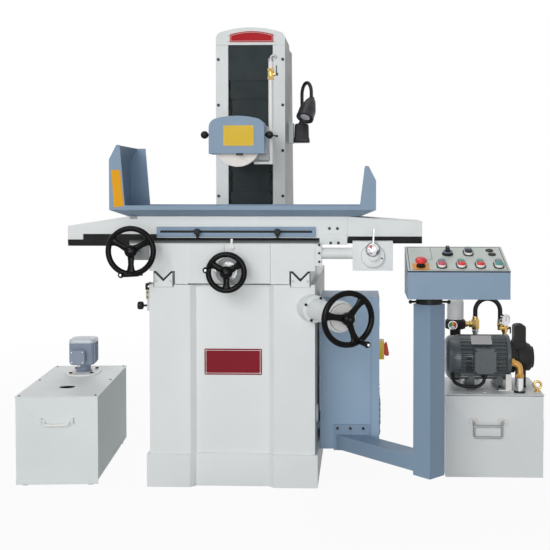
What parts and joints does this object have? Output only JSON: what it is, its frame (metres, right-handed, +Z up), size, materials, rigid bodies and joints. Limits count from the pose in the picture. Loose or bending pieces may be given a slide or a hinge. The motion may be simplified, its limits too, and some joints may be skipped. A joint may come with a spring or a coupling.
{
  "type": "surface grinder",
  "caption": "Hydraulic surface grinder: a floor-standing base, saddle and reciprocating table under a column wheelhead, with handwheels, a swivelling pendant, coolant tank and oil unit.",
  "frame": {"origin": "on the floor under the base, on the machine's middle plane, 450 mm behind the base's front", "axes": "+X to the operator's right along the table, +Y away from the operator, +Z up"},
  "size_m": [2.0295, 1.2995, 1.8],
  "materials": {
    "cream_paint": "semi-gloss",
    "blue_paint": "semi-gloss",
    "slate_sheet": "satin",
    "black_paint": "gloss",
    "motor_paint": "satin",
    "pump_paint": "satin",
    "steel": "brushed",
    "cast_iron": "machined",
    "chrome": "polished",
    "brass": "satin",
    "black_plastic": "matte",
    "black_lamp": "satin",
    "red_plastic": "gloss",
    "button_plastic": "gloss",
    "abrasive": "matte"
  },
  "bodies": {
    "machine": {"base_casting": "cream_paint", "column_casting": "cream_paint", "column_cap": "cream_paint", "way_guards": "slate_sheet", "feed_gear": "cast_iron", "elevation_bracket": "cream_paint", "electric_cabinet": "blue_paint", "pendant_arm": "blue_paint", "coolant_tank": "cream_paint", "tank_lids": "cream_paint", "coolant_pump": "pump_paint", "hydraulic_tank": "cream_paint", "hydraulic_motor": "motor_paint", "hydraulic_pump": "motor_paint", "oil_filter": "cream_paint", "hydraulic_lines": "brass", "work_lamp": "black_lamp", "oiler": "cream_paint", "socket_screws": "steel"},
    "saddle": {"saddle": "cream_paint", "table_cylinder": "steel", "speed_valve": "cream_paint"},
    "table": {"worktable": "cream_paint", "table_end_covers": "cream_paint", "way_skirts": "black_plastic", "splash_tray": "blue_paint", "stop_rail": "blue_paint", "table_drive": "steel"},
    "wheelhead": {"wheelhead": "cream_paint", "spindle_motor": "motor_paint", "wheel_guard": "blue_paint", "guard_cover": "blue_paint", "coolant_pipe": "cream_paint", "head_covers": "slate_sheet"},
    "telescopic_covers": {"telescopic_covers": "slate_sheet"},
    "spindle": {"spindle": "steel", "grinding_wheel": "abrasive"},
    "pendant": {"pendant_box": "blue_paint"},
    "cabinet_door": {"cabinet_door": "blue_paint"},
    "table_handwheel": {"table_handwheel": "black_paint"},
    "cross_handwheel": {"cross_handwheel": "black_paint"},
    "elevation_handwheel": {"elevation_handwheel": "black_paint"},
    "elevation_shaft": {"elevation_shaft": "steel"},
    "elevating_screw": {"elevating_screw": "steel"},
    "trip_dog_left": {"trip_dog_left": "black_plastic"},
    "trip_dog_right": {"trip_dog_right": "black_plastic"},
    "reversing_lever": {"reversing_lever": "cream_paint"},
    "speed_knob": {"speed_knob": "chrome"},
    "valve_lever": {"valve_lever": "chrome"},
    "switch_handle": {"switch_handle": "red_plastic"},
    "emergency_stop": {"emergency_stop": "red_plastic"},
    "selector_switch": {"selector_switch": "black_plastic"},
    "twin_button_1": {"twin_button_1": "button_plastic"},
    "twin_button_2": {"twin_button_2": "button_plastic"},
    "twin_button_3": {"twin_button_3": "button_plastic"},
    "twin_button_4": {"twin_button_4": "button_plastic"},
    "twin_button_5": {"twin_button_5": "button_plastic"},
    "coolant_bail": {"coolant_bail": "cream_paint"},
    "hydraulic_bail": {"hydraulic_bail": "cream_paint"},
    "oil_pump_knob": {"oil_pump_knob": "black_plastic"}
  },
  "joints": [
    {"name": "cross_handwheel_turn", "type": "hinge", "parent": "saddle", "child": "cross_handwheel", "pos_m": [-0.01, -0.525, 0.802], "axis": [0, 1, 0], "range_deg": [-11880.01, 3960.01]},
    {"name": "saddle_cross", "type": "slide", "parent": "machine", "child": "saddle", "axis": [0, 1, 0], "range_m": [-0.165, 0.055]},
    {"name": "table_handwheel_turn", "type": "hinge", "parent": "saddle", "child": "table_handwheel", "pos_m": [-0.356, -0.525, 0.878], "axis": [0, 1, 0], "range_deg": [-1306.35, 985.5]},
    {"name": "table_traverse", "type": "slide", "parent": "saddle", "child": "table", "axis": [1, 0, 0], "range_m": [-0.285, 0.215]},
    {"name": "elevation_handwheel_turn", "type": "hinge", "parent": "machine", "child": "elevation_handwheel", "pos_m": [0.43204, -0.74818, 0.666], "axis": [0.4226, -0.9063, 0], "range_deg": [-10080.01, 10800.01]},
    {"name": "head_lift", "type": "slide", "parent": "machine", "child": "wheelhead", "axis": [0, 0, 1], "range_m": [-0.14, 0.15]},
    {"name": "cover_lift", "type": "slide", "parent": "machine", "child": "telescopic_covers", "axis": [0, 0, 1], "range_m": [-0.07, 0.075]},
    {"name": "elevation_shaft_turn", "type": "hinge", "parent": "machine", "child": "elevation_shaft", "pos_m": [0.104, 0.08, 0.666], "axis": [0, 1, 0], "range_deg": [-10080.01, 10800.01]},
    {"name": "elevating_screw_turn", "type": "hinge", "parent": "machine", "child": "elevating_screw", "pos_m": [0.104, 0.22, 1.1], "axis": [0, 0, 1], "range_deg": [-10080.01, 10800.01]},
    {"name": "spindle_spin", "type": "hinge", "parent": "wheelhead", "child": "spindle", "pos_m": [0, -0.275, 1.279], "axis": [0, 1, 0], "continuous": true},
    {"name": "left_dog_slide", "type": "slide", "parent": "table", "child": "trip_dog_left", "axis": [1, 0, 0], "range_m": [-0.12, 0.1]},
    {"name": "right_dog_slide", "type": "slide", "parent": "table", "child": "trip_dog_right", "axis": [1, 0, 0], "range_m": [-0.1, 0.11]},
    {"name": "reversing_lever_tilt", "type": "hinge", "parent": "saddle", "child": "reversing_lever", "pos_m": [0, -0.449, 0.89], "axis": [0, 1, 0], "range_deg": [-20, 20]},
    {"name": "speed_knob_turn", "type": "hinge", "parent": "saddle", "child": "speed_knob", "pos_m": [0.5185, -0.455, 0.882], "axis": [0, 1, 0], "range_deg": [-60, 60]},
    {"name": "coolant_valve_turn", "type": "hinge", "parent": "wheelhead", "child": "valve_lever", "pos_m": [0.1435, -0.24, 1.549], "axis": [1, 0, 0], "range_deg": [0, 90]},
    {"name": "cabinet_door_hinge", "type": "hinge", "parent": "machine", "child": "cabinet_door", "pos_m": [0.5475, -0.01, 0.387], "axis": [0, 0, 1], "range_deg": [0, 110]},
    {"name": "isolator_turn", "type": "hinge", "parent": "cabinet_door", "child": "switch_handle", "pos_m": [0.5695, -0.09, 0.455], "axis": [1, 0, 0], "range_deg": [0, 90]},
    {"name": "pendant_swivel", "type": "hinge", "parent": "machine", "child": "pendant", "pos_m": [0.7185, -0.5385, 0.722], "axis": [0, 0, 1], "range_deg": [-90, 90]},
    {"name": "emergency_stop_press", "type": "slide", "parent": "pendant", "child": "emergency_stop", "axis": [0, -0.2924, 0.9563], "range_m": [-0.006, 0], "stiffness_N_per_m": 900},
    {"name": "selector_turn", "type": "hinge", "parent": "pendant", "child": "selector_switch", "pos_m": [0.7865, -0.50049, 0.86378], "axis": [0, -0.2924, 0.9563], "range_deg": [-45, 45]},
    {"name": "twin_1_press", "type": "slide", "parent": "pendant", "child": "twin_button_1", "axis": [0, -0.2924, 0.9563], "range_m": [-0.003, 0], "stiffness_N_per_m": 600},
    {"name": "twin_2_press", "type": "slide", "parent": "pendant", "child": "twin_button_2", "axis": [0, -0.2924, 0.9563], "range_m": [-0.003, 0], "stiffness_N_per_m": 600},
    {"name": "twin_3_press", "type": "slide", "parent": "pendant", "child": "twin_button_3", "axis": [0, -0.2924, 0.9563], "range_m": [-0.003, 0], "stiffness_N_per_m": 600},
    {"name": "twin_4_press", "type": "slide", "parent": "pendant", "child": "twin_button_4", "axis": [0, -0.2924, 0.9563], "range_m": [-0.003, 0], "stiffness_N_per_m": 600},
    {"name": "twin_5_press", "type": "slide", "parent": "pendant", "child": "twin_button_5", "axis": [0, -0.2924, 0.9563], "range_m": [-0.003, 0], "stiffness_N_per_m": 600},
    {"name": "coolant_bail_swing", "type": "hinge", "parent": "machine", "child": "coolant_bail", "pos_m": [-0.65225, -0.46765, 0.246], "axis": [-0.9972, -0.075, 0], "range_deg": [0, 90]},
    {"name": "hydraulic_bail_swing", "type": "hinge", "parent": "machine", "child": "hydraulic_bail", "pos_m": [0.961, -0.313, 0.215], "axis": [-1, 0, 0], "range_deg": [0, 90]},
    {"name": "oil_pump_pull", "type": "slide", "parent": "machine", "child": "oil_pump_knob", "axis": [-1, 0, 0], "range_m": [0, 0.015], "stiffness_N_per_m": 400}
  ],
  "couplings": [
    {"joint": "cross_handwheel_turn", "follows": "saddle_cross", "rad_per_m": 1256.6},
    {"joint": "table_handwheel_turn", "follows": "table_traverse", "rad_per_m": 80},
    {"joint": "elevation_handwheel_turn", "follows": "head_lift", "rad_per_m": 1256.6},
    {"joint": "cover_lift", "follows": "head_lift", "ratio": 0.5},
    {"joint": "elevation_shaft_turn", "follows": "head_lift", "rad_per_m": 1256.6},
    {"joint": "elevating_screw_turn", "follows": "head_lift", "rad_per_m": 1256.6}
  ]
}
